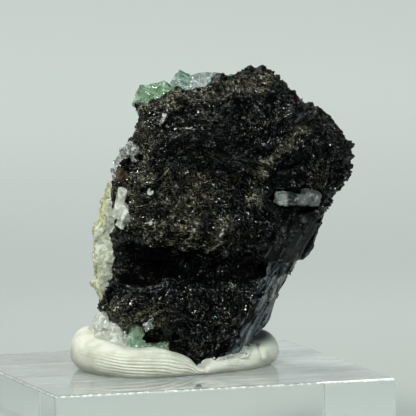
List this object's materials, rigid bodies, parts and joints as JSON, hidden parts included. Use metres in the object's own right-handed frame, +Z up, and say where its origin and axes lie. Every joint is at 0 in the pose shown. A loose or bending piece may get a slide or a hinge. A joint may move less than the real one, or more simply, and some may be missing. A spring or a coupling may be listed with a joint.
{
  "type": "fluorite with schorl specimen",
  "caption": "Black striated schorl with green and clear fluorite grown on it, held upright by a ring of putty on a clear acrylic display block.",
  "frame": {"origin": "the middle of the acrylic block's underside", "axes": "+Z up, X and Y along the block's edges; the specimen's broad face looks towards -Y, turned 17.3 degrees about Z"},
  "size_m": [0.0384, 0.0382, 0.0457],
  "materials": {
    "acrylic": "polished clear acrylic",
    "putty": "matt, finger-pressed",
    "schorl": "glassy, striated and broken",
    "green_fluorite": "glassy",
    "clear_fluorite": "glassy",
    "pale_crust": "frosted, slightly see-through",
    "white_crystal": "frosted",
    "glassy_crystal": "glassy",
    "grey_crystal": "satin, slightly see-through"
  },
  "bodies": {
    "root": {"acrylic_block": "acrylic", "putty_ring": "putty", "schorl": "schorl", "fluorite_green": "green_fluorite", "fluorite_clear": "clear_fluorite", "fluorite_chip": "green_fluorite", "fluorite_foot": "green_fluorite", "flank_crust": "pale_crust", "white_wedges": "white_crystal", "foot_crumbs": "white_crystal", "glassy_grains": "glassy_crystal", "glassy_bead": "glassy_crystal", "pale_crystal": "grey_crystal"}
  },
  "joints": []
}
